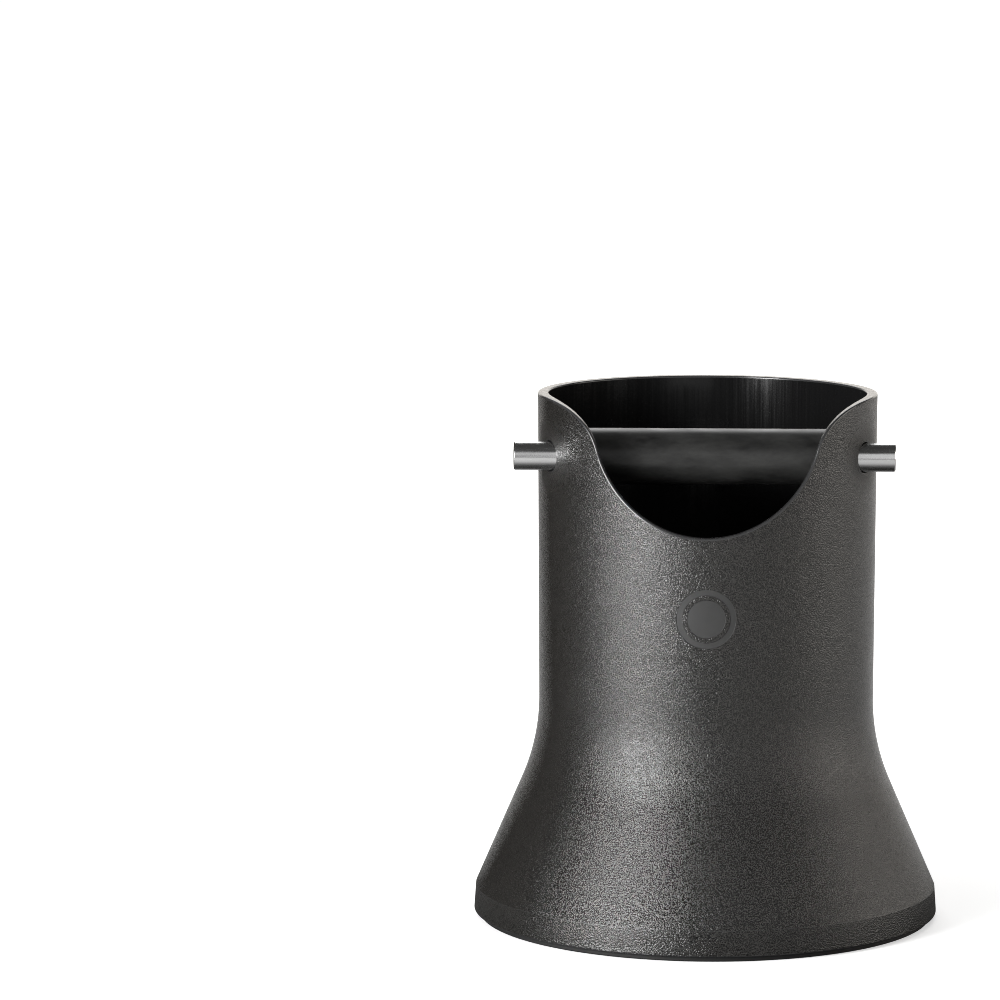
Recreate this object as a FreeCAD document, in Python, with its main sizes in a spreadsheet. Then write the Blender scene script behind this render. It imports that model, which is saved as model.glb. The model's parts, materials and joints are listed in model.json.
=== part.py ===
import FreeCAD, Part
import math
import os
import Sketcher

# Espresso knock box: a flared plastic body, open at the top and scooped at the front, closed below by a
# welded floor with a non-slip foot ring, and crossed near the rim by a steel rod in a rubber sleeve.
# Millimetres. The origin is the centre of the ring that stands on the table: +Z up, -Y the scooped
# front, and X along the rod.

# The driving sizes: name, value and what it is.
SIZES = [
    ("total_height", 175.0, "table to rim"),
    ("rim_radius", 56.0, "outer radius at the rim"),
    ("waist_radius", 55.47, "outer radius where the wall starts to flare"),
    ("waist_height", 73.7, "height where the wall starts to flare"),
    ("flare_radius", 70.0, "radius of the concave flare"),
    ("wall", 3.5, "wall of the body"),
    ("band_edge_radius", 76.5, "outer radius of the crisp edge above the foot band"),
    ("band_foot_radius", 77.1, "outer radius of the foot band at its lower edge"),
    ("band_top", 10.3, "height of the crisp edge above the foot band"),
    ("band_inner_radius", 73.6, "inner radius of the foot band above the floor"),
    ("rim_trim", 1.0, "height cut off the turned blank to leave the flat rim"),
    ("edge_round", 0.5, "rounding along the rim and the scoop"),
    ("corner_round", 0.4, "rounding of the foot band's lower corner"),
    ("scoop_floor", 133.5, "lowest height of the scoop"),
    ("scoop_radius", 36.5, "radius of the scoop's hollow arc"),
    ("lip_radius", 19.5, "radius of the arcs that lead from the scoop up to the rim"),
    ("rod_forward", 21.5, "distance of the rod in front of the body's axis"),
    ("rod_height", 156.0, "height of the rod's axis"),
    ("rod_radius", 4.75, "radius of the steel rod"),
    ("rod_length", 124.4, "length of the steel rod"),
    ("rod_offset", -0.9, "sideways place of the rod's middle, where it has come to rest"),
    ("rod_chamfer", 0.4, "chamfer at both ends of the rod"),
    ("hole_radius", 5.05, "radius of the rod's holes in the body"),
    ("hole_round", 0.35, "rounding of the holes' outer edges"),
    ("sleeve_radius", 9.2, "outer radius of the rubber sleeve"),
    ("sleeve_length", 83.0, "length of the rubber sleeve"),
    ("sleeve_gap", 0.03, "clearance between the rod and the sleeve"),
    ("sleeve_round", 0.8, "rounding of the sleeve's ends"),
    ("foot_height", 1.8, "height of the foot band's lower edge above the table"),
    ("floor_top", 6.2, "height of the floor's upper face"),
    ("floor_thickness", 2.4, "thickness of the floor"),
    ("floor_radius", 74.5, "radius of the floor"),
    ("weld_gap", 0.1, "gap between the floor's edge and the body"),
    ("channel_outer", 73.0, "outer radius of the channel that holds the foot ring"),
    ("channel_inner", 67.5, "inner radius of that channel"),
    ("channel_lip", 1.5, "thickness of the channel's two lips"),
    ("rib_start", 14.0, "radius where the ribs under the floor start"),
    ("rib_width", 1.6, "width of a rib under the floor"),
    ("rib_depth", 1.2, "depth of a rib under the floor"),
    ("rib_count", 8, "number of ribs under the floor"),
    ("ring_outer", 75.2, "outer radius of the foot ring"),
    ("ring_inner", 64.5, "inner radius of the foot ring"),
    ("ring_gap", 0.1, "gap around the foot ring's tongue"),
    ("ring_round", 0.5, "rounding of the foot ring's lower outer edge"),
    ("groove_first", 66.6, "middle radius of the first grip groove"),
    ("groove_pitch", 2.6, "radial step from one grip groove to the next"),
    ("groove_width", 1.2, "width of a grip groove"),
    ("groove_depth", 0.7, "depth of a grip groove"),
    ("roundel_height", 107.5, "height of the roundel's middle"),
    ("roundel_disc", 6.2, "radius of the roundel's disc"),
    ("roundel_ring_inner", 7.7, "inner radius of the roundel's ring"),
    ("roundel_ring_outer", 9.6, "outer radius of the roundel's ring"),
    ("roundel_depth", 0.2, "depth of the roundel in the wall"),
]
GROOVE_COUNT = 3
START, END, CENTRE = 1, 2, 3
ORIGIN = (-1, 1)
VERTICAL_AXIS = -2

doc = FreeCAD.newDocument("knock_box")


def make_sheet():
    """The sizes sheet: one row per size, whose alias is the size's name."""
    sheet = doc.addObject("Spreadsheet::Sheet", "Sizes")
    for row, (name, value, meaning) in enumerate(SIZES, start=1):
        sheet.set(f"A{row}", name)
        sheet.set(f"B{row}", str(value))
        sheet.set(f"C{row}", meaning)
        sheet.setAlias(f"B{row}", name)
    doc.recompute()
    return sheet


sheet = make_sheet()


def size(expression):
    """The present value of an expression over the sheet's sizes."""
    value = sheet.evalExpression(expression)
    return float(getattr(value, "Value", value))


def plane_sketch(body, role, name):
    """An empty sketch on one of the body's own origin planes."""
    sketch = body.newObject("Sketcher::SketchObject", name)
    plane = next(item for item in body.Origin.OriginFeatures if item.Role == role)
    sketch.AttachmentSupport = [(plane, "")]
    sketch.MapMode = "FlatFace"
    return sketch


def dimension(sketch, kind, places, expression):
    """A dimension of a sketch that follows an expression over the sheet's sizes."""
    index = sketch.addConstraint(Sketcher.Constraint(kind, *places, size(expression)))
    sketch.setExpression(f"Constraints[{index}]", expression)


def place_point(sketch, point, across, up):
    """Two dimensions that put a sketch point at (across, up) from the origin. None leaves one free."""
    if across is not None:
        dimension(sketch, "DistanceX", ORIGIN + point, across)
    if up is not None:
        dimension(sketch, "DistanceY", ORIGIN + point, up)


def outline(sketch, points):
    """A closed outline of straight lines through points given as pairs of expressions."""
    corners = [FreeCAD.Vector(size(across), size(up), 0) for across, up in points]
    lines = []
    for here, there in zip(corners, corners[1:] + corners[:1]):
        lines.append(sketch.addGeometry(Part.LineSegment(here, there), False))
    for line, following in zip(lines, lines[1:] + lines[:1]):
        sketch.addConstraint(Sketcher.Constraint("Coincident", line, END, following, START))
    for line, (across, up) in zip(lines, points):
        place_point(sketch, (line, START), across, up)
    return lines


def circle(sketch, across, up, radius):
    """A circle whose middle and radius follow the sheet."""
    middle = FreeCAD.Vector(size(across), size(up), 0)
    shape = Part.Circle(middle, FreeCAD.Vector(0, 0, 1), size(radius))
    index = sketch.addGeometry(shape, False)
    place_point(sketch, (index, CENTRE), across, up)
    dimension(sketch, "Radius", (index,), radius)
    return index


def feature(body, kind, name, sketch, **settings):
    """A PartDesign feature made from a sketch, with its settings given as values or expressions."""
    made = body.newObject(f"PartDesign::{kind}", name)
    made.Profile = sketch
    for key, value in settings.items():
        if isinstance(value, str) and value.startswith("Sizes."):
            made.setExpression(key, value)
        else:
            setattr(made, key, value)
    return made


def turned(body, kind, name, sketch, axis="V_Axis"):
    """A full turn of a sketch about one of its own axes, as a Revolution or a Groove."""
    return feature(body, kind, name, sketch, ReferenceAxis=(sketch, [axis]), Angle=360)


def rounded(body, kind, name, base, wanted, **settings):
    """A Fillet or Chamfer on the edges of the base feature for which wanted(edge) holds."""
    doc.recompute()
    edges = [f"Edge{number}" for number, edge in enumerate(base.Shape.Edges, start=1) if wanted(edge)]
    made = body.newObject(f"PartDesign::{kind}", name)
    made.Base = (base, edges)
    for key, expression in settings.items():
        made.setExpression(key, expression)
    doc.recompute()
    return made


def radius_at(point):
    """Distance of a point from the body's own axis."""
    return math.hypot(point.x, point.y)


def new_body(label):
    """A PartDesign body whose label is the node's name."""
    body = doc.addObject("PartDesign::Body", label)
    body.Label = label
    return body


def flare_arc(sketch, centre, cone_angle, radius):
    """The part of a concave circle from the waist, straight inward of its middle, down to the cone."""
    ring = Part.Circle(centre, FreeCAD.Vector(0, 0, 1), size(radius))
    return sketch.addGeometry(Part.ArcOfCircle(ring, math.pi, math.pi + cone_angle), False)


def line(sketch, here, there):
    """A straight line of a sketch between two points."""
    return sketch.addGeometry(Part.LineSegment(here, there), False)


def shell_profile(body):
    """Half section of the body: foot band, cone, concave flare and drafted wall, outside and inside."""
    sketch = plane_sketch(body, "YZ_Plane", "ShellProfile")
    wall = size("Sizes.wall")
    flare = size("Sizes.flare_radius")
    waist = FreeCAD.Vector(size("Sizes.waist_radius"), size("Sizes.waist_height"), 0)
    centre = waist + FreeCAD.Vector(flare, 0, 0)
    band_foot = FreeCAD.Vector(size("Sizes.band_foot_radius"), size("Sizes.foot_height"), 0)
    band_edge = FreeCAD.Vector(size("Sizes.band_edge_radius"), size("Sizes.band_top"), 0)
    rim = FreeCAD.Vector(size("Sizes.rim_radius"), size("Sizes.total_height + Sizes.rim_trim"), 0)
    to_centre = centre - band_edge
    cone_angle = math.atan2(to_centre.y, to_centre.x) + math.asin(flare / to_centre.Length) - math.pi / 2
    cone_out = FreeCAD.Vector(-math.cos(cone_angle), -math.sin(cone_angle), 0)
    inward = FreeCAD.Vector(wall, 0, 0)

    band = line(sketch, band_foot, band_edge)
    cone = line(sketch, band_edge, centre + cone_out * flare)
    outer_flare = flare_arc(sketch, centre, cone_angle, "Sizes.flare_radius")
    outer_wall = line(sketch, waist, rim)
    top = line(sketch, rim, rim - inward)
    inner_wall = line(sketch, rim - inward, waist - inward)
    inner_flare = flare_arc(sketch, centre, cone_angle, "Sizes.flare_radius + Sizes.wall")
    cone_foot = FreeCAD.Vector(size("Sizes.band_inner_radius"), size("Sizes.band_top"), 0)
    inner_cone = line(sketch, centre + cone_out * (flare + wall), cone_foot)
    ledge_in = FreeCAD.Vector(size("Sizes.band_inner_radius"), size("Sizes.floor_top"), 0)
    ledge_out = FreeCAD.Vector(size("Sizes.floor_radius + Sizes.weld_gap"), size("Sizes.floor_top"), 0)
    seat_foot = FreeCAD.Vector(ledge_out.x, band_foot.y, 0)
    band_inside = line(sketch, cone_foot, ledge_in)
    ledge = line(sketch, ledge_in, ledge_out)
    seat = line(sketch, ledge_out, seat_foot)
    foot = line(sketch, seat_foot, band_foot)

    straight_joints = [
        (band, cone), (outer_wall, top), (top, inner_wall), (inner_cone, band_inside),
        (band_inside, ledge), (ledge, seat), (seat, foot), (foot, band),
    ]
    for before, after in straight_joints:
        sketch.addConstraint(Sketcher.Constraint("Coincident", before, END, after, START))
    smooth_joints = [
        (cone, END, outer_flare, END), (outer_wall, START, outer_flare, START),
        (inner_wall, END, inner_flare, START), (inner_cone, START, inner_flare, END),
    ]
    for places in smooth_joints:
        sketch.addConstraint(Sketcher.Constraint("Tangent", *places))
    sketch.addConstraint(Sketcher.Constraint("Coincident", outer_flare, CENTRE, inner_flare, CENTRE))
    sketch.addConstraint(Sketcher.Constraint("Parallel", outer_wall, inner_wall))
    sketch.addConstraint(Sketcher.Constraint("Parallel", cone, inner_cone))
    dimension(sketch, "Radius", (outer_flare,), "Sizes.flare_radius")
    dimension(sketch, "Radius", (inner_flare,), "Sizes.flare_radius + Sizes.wall")
    seat_radius = "Sizes.floor_radius + Sizes.weld_gap"
    place_point(sketch, (band, START), "Sizes.band_foot_radius", "Sizes.foot_height")
    place_point(sketch, (band, END), "Sizes.band_edge_radius", "Sizes.band_top")
    place_point(sketch, (outer_wall, START), "Sizes.waist_radius", "Sizes.waist_height")
    place_point(sketch, (top, START), "Sizes.rim_radius", "Sizes.total_height + Sizes.rim_trim")
    place_point(sketch, (top, END), None, "Sizes.total_height + Sizes.rim_trim")
    place_point(sketch, (band_inside, START), "Sizes.band_inner_radius", None)
    place_point(sketch, (ledge, START), "Sizes.band_inner_radius", "Sizes.floor_top")
    place_point(sketch, (ledge, END), seat_radius, "Sizes.floor_top")
    place_point(sketch, (foot, START), seat_radius, "Sizes.foot_height")
    return sketch


def front_outline(body):
    """What is cut off the front: all above the flat rim, and the scoop, a hollow arc between two lip arcs."""
    sketch = plane_sketch(body, "XZ_Plane", "FrontOutline")
    rim_height = size("Sizes.total_height")
    hollow = size("Sizes.scoop_radius")
    lip = size("Sizes.lip_radius")
    hollow_height = size("Sizes.scoop_floor") + hollow
    drop = hollow_height - (rim_height - lip)
    lip_across = math.sqrt((hollow + lip) ** 2 - drop ** 2)
    tilt = math.asin(drop / (hollow + lip))
    side = size("Sizes.rim_radius + Sizes.wall")
    cover_height = size("Sizes.total_height + Sizes.wall")
    upward = FreeCAD.Vector(0, 0, 1)

    bowl_circle = Part.Circle(FreeCAD.Vector(0, hollow_height, 0), upward, hollow)
    bowl = sketch.addGeometry(Part.ArcOfCircle(bowl_circle, math.pi + tilt, 2 * math.pi - tilt), False)
    right_circle = Part.Circle(FreeCAD.Vector(lip_across, rim_height - lip, 0), upward, lip)
    right = sketch.addGeometry(Part.ArcOfCircle(right_circle, math.pi / 2, math.pi - tilt), False)
    left_circle = Part.Circle(FreeCAD.Vector(-lip_across, rim_height - lip, 0), upward, lip)
    left = sketch.addGeometry(Part.ArcOfCircle(left_circle, tilt, math.pi / 2), False)
    corners = [
        FreeCAD.Vector(lip_across, rim_height, 0), FreeCAD.Vector(side, rim_height, 0),
        FreeCAD.Vector(side, cover_height, 0), FreeCAD.Vector(-side, cover_height, 0),
        FreeCAD.Vector(-side, rim_height, 0), FreeCAD.Vector(-lip_across, rim_height, 0),
    ]
    straights = [line(sketch, *pair) for pair in zip(corners, corners[1:])]
    right_rim, right_side, cover, left_side, left_rim = straights

    smooth_joints = [
        (bowl, END, right, END), (bowl, START, left, START),
        (right, START, right_rim, START), (left, END, left_rim, END),
    ]
    for places in smooth_joints:
        sketch.addConstraint(Sketcher.Constraint("Tangent", *places))
    for before, after in zip(straights, straights[1:]):
        sketch.addConstraint(Sketcher.Constraint("Coincident", before, END, after, START))
    for flat in (right_rim, cover, left_rim):
        sketch.addConstraint(Sketcher.Constraint("Horizontal", flat))
    for upright in (right_side, left_side):
        sketch.addConstraint(Sketcher.Constraint("Vertical", upright))
    sketch.addConstraint(Sketcher.Constraint("PointOnObject", bowl, CENTRE, VERTICAL_AXIS))
    dimension(sketch, "Radius", (bowl,), "Sizes.scoop_radius")
    dimension(sketch, "Radius", (right,), "Sizes.lip_radius")
    dimension(sketch, "Radius", (left,), "Sizes.lip_radius")
    place_point(sketch, (bowl, CENTRE), None, "Sizes.scoop_floor + Sizes.scoop_radius")
    place_point(sketch, (right_side, START), "Sizes.rim_radius + Sizes.wall", "Sizes.total_height")
    place_point(sketch, (left_side, END), "-Sizes.rim_radius - Sizes.wall", "Sizes.total_height")
    place_point(sketch, (cover, START), None, "Sizes.total_height + Sizes.wall")
    return sketch


def back_outline(body):
    """What is cut off the back: all above the flat rim."""
    sketch = plane_sketch(body, "XZ_Plane", "BackOutline")
    side = "Sizes.rim_radius + Sizes.wall"
    cover = "Sizes.total_height + Sizes.wall"
    rim = "Sizes.total_height"
    outline(sketch, [(side, rim), (side, cover), (f"-({side})", cover), (f"-({side})", rim)])
    return sketch


def edge_middle(edge):
    """The point halfway along an edge."""
    return edge.valueAt((edge.FirstParameter + edge.LastParameter) / 2)


def on_outer_rim(edge):
    """True for the outer edge of the rim and the scoop, which runs along the outer wall."""
    middle = edge_middle(edge)
    above_scoop = middle.z > size("Sizes.scoop_floor") - 0.01
    off_wall = abs(radius_at(middle) - size("Sizes.rim_radius"))
    return above_scoop and off_wall < size("Sizes.wall") / 2 and type(edge.Curve).__name__ != "Line"


def at_band_foot(edge):
    """True for the lower outer edge of the foot band."""
    middle = edge_middle(edge)
    at_foot = abs(middle.z - size("Sizes.foot_height")) < 0.01
    return at_foot and abs(radius_at(middle) - size("Sizes.band_foot_radius")) < 0.01


def at_hole_mouth(edge):
    """True for the outer edges of the two rod holes."""
    middle = edge_middle(edge)
    from_rod = math.hypot(middle.y + size("Sizes.rod_forward"), middle.z - size("Sizes.rod_height"))
    on_hole = abs(from_rod - size("Sizes.hole_radius")) < 0.01
    return on_hole and radius_at(middle) > size("Sizes.rim_radius - Sizes.wall / 2")


def make_shell_blank():
    """The turned body before its rim, scoop, holes and roundel are cut."""
    body = new_body("shell_blank")
    blank = turned(body, "Revolution", "ShellTurned", shell_profile(body))
    rounded(body, "Fillet", "BandFootRound", blank, at_band_foot, Radius="Sizes.corner_round")
    return body


def make_top_cutter():
    """The waste above the rim and in the scoop."""
    body = new_body("top_cutter")
    reach = "Sizes.rim_radius + Sizes.wall"
    feature(body, "Pad", "FrontWaste", front_outline(body), Length=reach)
    feature(body, "Pad", "BackWaste", back_outline(body), Length=reach, Reversed=True)
    return body


def make_hole_cutter():
    """A round bar of waste across the body, as wide as the rod's holes."""
    body = new_body("hole_cutter")
    sketch = plane_sketch(body, "YZ_Plane", "HoleCircle")
    circle(sketch, "-Sizes.rod_forward", "Sizes.rod_height", "Sizes.hole_radius")
    feature(body, "Pad", "HoleWaste", sketch, Length="Sizes.band_foot_radius * 2", SideType="Symmetric")
    return body


def make_roundel_cutter():
    """The waste of the plain roundel: a disc and a ring, sunk into the front of the drafted wall."""
    body = new_body("roundel_cutter")
    sketch = plane_sketch(body, "XZ_Plane", "RoundelCircles")
    for radius in ("Sizes.roundel_disc", "Sizes.roundel_ring_inner", "Sizes.roundel_ring_outer"):
        circle(sketch, "0", "Sizes.roundel_height", radius)
    feature(body, "Pad", "RoundelPrism", sketch, Length="Sizes.rim_radius + Sizes.wall")
    core = plane_sketch(body, "XZ_Plane", "RoundelCore")
    low = "(Sizes.roundel_height - Sizes.roundel_ring_outer * 2)"
    high = "(Sizes.roundel_height + Sizes.roundel_ring_outer * 2)"
    slope = "(Sizes.rim_radius - Sizes.waist_radius) / (Sizes.total_height - Sizes.waist_height)"
    bottom = "(Sizes.waist_radius - Sizes.roundel_depth)"
    low_radius = f"{bottom} + ({low} - Sizes.waist_height) * {slope}"
    high_radius = f"{bottom} + ({high} - Sizes.waist_height) * {slope}"
    outline(core, [("0", low), (low_radius, low), (high_radius, high), ("0", high)])
    turned(body, "Groove", "RoundelFloor", core)
    return body


def cut(name, base, tool):
    """The base less the tool."""
    made = doc.addObject("Part::Cut", name)
    made.Base = base
    made.Tool = tool
    doc.recompute()
    return made


def round_edges(name, base, wanted, radius):
    """A Part fillet on the edges of the base for which wanted(edge) holds."""
    made = doc.addObject("Part::Fillet", name)
    made.Base = base
    numbers = [number for number, edge in enumerate(base.Shape.Edges, start=1) if wanted(edge)]
    made.Edges = [(number, size(radius), size(radius)) for number in numbers]
    doc.recompute()
    return made


def make_body_shell():
    """The moulded body: the turned blank, trimmed to its rim and scoop, drilled and marked."""
    trimmed = cut("shell_trimmed", make_shell_blank(), make_top_cutter())
    softened = round_edges("shell_softened", trimmed, on_outer_rim, "Sizes.edge_round")
    drilled = cut("shell_drilled", softened, make_hole_cutter())
    eased = round_edges("shell_eased", drilled, at_hole_mouth, "Sizes.hole_round")
    return cut("body_shell", eased, make_roundel_cutter())


def make_base_plate():
    """The welded floor: a disc with two lips below it that hold the foot ring, and stiffening ribs."""
    body = new_body("base_plate")
    sketch = plane_sketch(body, "XZ_Plane", "FloorProfile")
    under = "Sizes.floor_top - Sizes.floor_thickness"
    hub_foot = f"{under} - Sizes.rib_depth"
    lip_foot = "Sizes.foot_height"
    hub_inner = "Sizes.rib_start - Sizes.channel_lip"
    inner_lip = "Sizes.channel_inner - Sizes.channel_lip"
    outline(sketch, [
        ("0", under), (hub_inner, under), (hub_inner, hub_foot), ("Sizes.rib_start", hub_foot),
        ("Sizes.rib_start", under), (inner_lip, under), (inner_lip, lip_foot),
        ("Sizes.channel_inner", lip_foot), ("Sizes.channel_inner", under), ("Sizes.channel_outer", under),
        ("Sizes.channel_outer", lip_foot), ("Sizes.floor_radius", lip_foot),
        ("Sizes.floor_radius", "Sizes.floor_top"), ("0", "Sizes.floor_top"),
    ])
    turned(body, "Revolution", "FloorTurned", sketch)
    rib = plane_sketch(body, "XY_Plane", "RibOutline")
    rib.setExpression("AttachmentOffset.Base.z", under)
    half = "Sizes.rib_width / 2"
    start = "Sizes.rib_start - Sizes.channel_lip / 2"
    stop = "Sizes.channel_inner - Sizes.channel_lip / 2"
    outline(rib, [(start, f"-{half}"), (stop, f"-{half}"), (stop, half), (start, half)])
    first = feature(body, "Pad", "Rib", rib, Length="Sizes.rib_depth", Reversed=True)
    doc.recompute()
    pattern = body.newObject("PartDesign::PolarPattern", "Ribs")
    pattern.Originals = [first]
    pattern.Axis = (rib, ["N_Axis"])
    pattern.Angle = 360
    pattern.setExpression("Occurrences", "Sizes.rib_count")
    body.Tip = pattern
    return body


def make_foot_ring():
    """The soft ring under the body: a flat tread with grip grooves and a tongue up into the floor."""
    body = new_body("foot_ring")
    sketch = plane_sketch(body, "XZ_Plane", "RingProfile")
    tongue_in = "Sizes.channel_inner + Sizes.ring_gap"
    tongue_out = "Sizes.channel_outer - Sizes.ring_gap"
    tongue_top = "Sizes.floor_top - Sizes.floor_thickness - Sizes.ring_gap"
    tread = "Sizes.foot_height"
    outline(sketch, [
        ("Sizes.ring_inner", "0"), ("Sizes.ring_outer", "0"), ("Sizes.ring_outer", tread),
        (tongue_out, tread), (tongue_out, tongue_top), (tongue_in, tongue_top), (tongue_in, tread),
        ("Sizes.ring_inner", tread),
    ])
    ring = turned(body, "Revolution", "RingTurned", sketch)
    grooves = plane_sketch(body, "XZ_Plane", "GripGrooves")
    half = "Sizes.groove_width / 2"
    for step in range(GROOVE_COUNT):
        middle = f"Sizes.groove_first + Sizes.groove_pitch * {step}"
        near, far = f"{middle} - {half}", f"{middle} + {half}"
        depth = "Sizes.groove_depth"
        outline(grooves, [(near, "0"), (far, "0"), (far, depth), (near, depth)])
    grooved = turned(body, "Groove", "RingGrooves", grooves)

    def at_tread_edge(edge):
        middle = edge_middle(edge)
        return abs(middle.z) < 0.01 and abs(radius_at(middle) - size("Sizes.ring_outer")) < 0.01

    rounded(body, "Fillet", "TreadRound", grooved, at_tread_edge, Radius="Sizes.ring_round")
    return body


def put_on_rod_axis(body):
    """Moves a body made about the origin to the rod's place."""
    body.setExpression("Placement.Base.x", "Sizes.rod_offset")
    body.setExpression("Placement.Base.y", "-Sizes.rod_forward")
    body.setExpression("Placement.Base.z", "Sizes.rod_height")


def make_knock_rod():
    """The steel rod, chamfered at both ends."""
    body = new_body("knock_rod")
    sketch = plane_sketch(body, "YZ_Plane", "RodCircle")
    circle(sketch, "0", "0", "Sizes.rod_radius")
    rod = feature(body, "Pad", "RodBar", sketch, Length="Sizes.rod_length", SideType="Symmetric")
    rounded(body, "Chamfer", "RodEnds", rod, lambda edge: edge.Closed, Size="Sizes.rod_chamfer")
    put_on_rod_axis(body)
    return body


def make_rubber_sleeve():
    """The rubber sleeve, a thick tube around the middle of the rod with rounded ends."""
    body = new_body("rubber_sleeve")
    sketch = plane_sketch(body, "XZ_Plane", "SleeveProfile")
    half = "Sizes.sleeve_length / 2"
    bore = "Sizes.rod_radius + Sizes.sleeve_gap"
    outer = "Sizes.sleeve_radius"
    outline(sketch, [(f"-{half}", bore), (half, bore), (half, outer), (f"-{half}", outer)])
    tube = turned(body, "Revolution", "SleeveTurned", sketch, axis="H_Axis")

    def at_sleeve_end(edge):
        middle = edge_middle(edge)
        from_axis = math.hypot(middle.y, middle.z)
        at_end = abs(abs(middle.x) - size(half)) < 0.01
        return at_end and abs(from_axis - size(outer)) < 0.01

    rounded(body, "Fillet", "SleeveEnds", tube, at_sleeve_end, Radius="Sizes.sleeve_round")
    put_on_rod_axis(body)
    return body


def check_features():
    """Stops if any object failed, or if any cutting feature left its solid as it was."""
    for item in doc.Objects:
        if "Invalid" in item.State or "Error" in item.State:
            raise RuntimeError(f"{item.Label} failed: {item.State}")
        if item.TypeId == "Sketcher::SketchObject" and not item.FullyConstrained:
            raise RuntimeError(f"{item.Label} is not fully constrained")
        if item.TypeId in ("PartDesign::Groove", "PartDesign::Pocket"):
            if item.Shape.Volume > item.BaseFeature.Shape.Volume - 1:
                raise RuntimeError(f"{item.Label} cut nothing")
        if item.TypeId == "Part::Cut" and item.Shape.Volume > item.Base.Shape.Volume - 1:
            raise RuntimeError(f"{item.Label} cut nothing")


nodes = [make_body_shell(), make_base_plate(), make_foot_ring(), make_knock_rod(), make_rubber_sleeve()]
doc.recompute()
check_features()
os.makedirs("parts", exist_ok=True)
for node in nodes:
    if node.Shape.isNull() or not node.Shape.isValid():
        raise RuntimeError(f"{node.Label} has no valid shape")
for node in nodes:
    node.Shape.exportStep(f"parts/{node.Label}.step")
    print(node.Label, len(node.Shape.Solids), "solid,", round(node.Shape.Volume / 1000, 2), "cm3")
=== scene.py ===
import json
import math

import bmesh
import bpy
import numpy as np
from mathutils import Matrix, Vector, noise


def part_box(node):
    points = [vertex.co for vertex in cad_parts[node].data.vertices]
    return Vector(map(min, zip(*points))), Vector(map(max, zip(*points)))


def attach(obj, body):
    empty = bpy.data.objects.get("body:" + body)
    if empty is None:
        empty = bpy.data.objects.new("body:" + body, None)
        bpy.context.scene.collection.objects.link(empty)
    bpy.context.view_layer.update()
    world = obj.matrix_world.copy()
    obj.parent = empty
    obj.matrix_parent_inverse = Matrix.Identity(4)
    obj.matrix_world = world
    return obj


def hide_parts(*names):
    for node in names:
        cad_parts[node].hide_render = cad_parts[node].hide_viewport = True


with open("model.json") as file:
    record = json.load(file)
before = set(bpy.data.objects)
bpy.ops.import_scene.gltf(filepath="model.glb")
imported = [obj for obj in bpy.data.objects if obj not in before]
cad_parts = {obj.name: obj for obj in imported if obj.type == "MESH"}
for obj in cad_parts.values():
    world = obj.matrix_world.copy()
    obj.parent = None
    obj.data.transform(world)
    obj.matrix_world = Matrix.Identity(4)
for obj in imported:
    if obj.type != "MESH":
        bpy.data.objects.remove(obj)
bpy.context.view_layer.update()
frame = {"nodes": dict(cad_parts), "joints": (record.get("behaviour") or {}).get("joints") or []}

# An espresso knock box on a pale floor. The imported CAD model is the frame: the body, the rod, the sleeve
# and the foot ring are rebuilt here as finer meshes in the same places, and the welded floor is the CAD
# node itself. Metres, +Z up, -Y towards the scooped front, X along the rod.

MM = 0.001

# The body's section.
TOTAL_HEIGHT = 175.0 * MM
RIM_RADIUS = 56.0 * MM
DRAFT_TOP = 176.0 * MM
WAIST_RADIUS = 55.47 * MM
WAIST_HEIGHT = 73.7 * MM
FLARE_RADIUS = 70.0 * MM
WALL = 3.5 * MM
BAND_TOP = 10.3 * MM
BAND_EDGE_RADIUS = 76.5 * MM
BAND_FOOT_RADIUS = 77.1 * MM
BAND_INNER_RADIUS = 73.6 * MM
SEAT_RADIUS = 74.6 * MM
FOOT_HEIGHT = 1.8 * MM
FLOOR_TOP = 6.2 * MM
DRAFT_SLOPE = (RIM_RADIUS - WAIST_RADIUS) / (DRAFT_TOP - WAIST_HEIGHT)

# The scoop in the front of the rim, seen from the front.
SCOOP_FLOOR = 133.5 * MM
SCOOP_RADIUS = 36.5 * MM
LIP_RADIUS = 19.5 * MM
SCOOP_MIDDLE = SCOOP_FLOOR + SCOOP_RADIUS
LIP_MIDDLE = TOTAL_HEIGHT - LIP_RADIUS
LIP_ACROSS = math.sqrt((SCOOP_RADIUS + LIP_RADIUS) ** 2 - (SCOOP_MIDDLE - LIP_MIDDLE) ** 2)
LIP_START = LIP_ACROSS * SCOOP_RADIUS / (SCOOP_RADIUS + LIP_RADIUS)
SCOOP_FADE = 8.0 * MM

# The rod, its holes and its sleeve.
spin = next(joint for joint in frame["joints"] if joint["name"] == "bar_spin")
ROD_Y, ROD_Z = spin["pos_m"][1:]
ROD_LEFT, ROD_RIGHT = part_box("knock_rod")[0].x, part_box("knock_rod")[1].x
ROD_RADIUS = 4.75 * MM
ROD_CHAMFER = 0.4 * MM
SLEEVE_LEFT, SLEEVE_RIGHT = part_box("rubber_sleeve")[0].x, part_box("rubber_sleeve")[1].x
SLEEVE_RADIUS = 9.2 * MM
SLEEVE_BORE = 4.78 * MM
SLEEVE_ROUND = 0.8 * MM
SLEEVE_BORE_ROUND = 0.3 * MM
HOLE_RADIUS = 5.05 * MM

# The foot ring: its hollow middle, the tongue that holds it in the floor, and the grooves in its sole.
RING_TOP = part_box("foot_ring")[1].z
RING_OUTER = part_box("foot_ring")[1].x
RING_INNER = 64.5 * MM
TONGUE_INNER = 67.6 * MM
TONGUE_OUTER = 72.9 * MM
GROOVES = 3
GROOVE_START = 66.6 * MM
GROOVE_SPACING = 2.6 * MM
GROOVE_HALF = 0.6 * MM
GROOVE_DEPTH = 0.7 * MM
GROOVE_ROUND = 0.15 * MM

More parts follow.
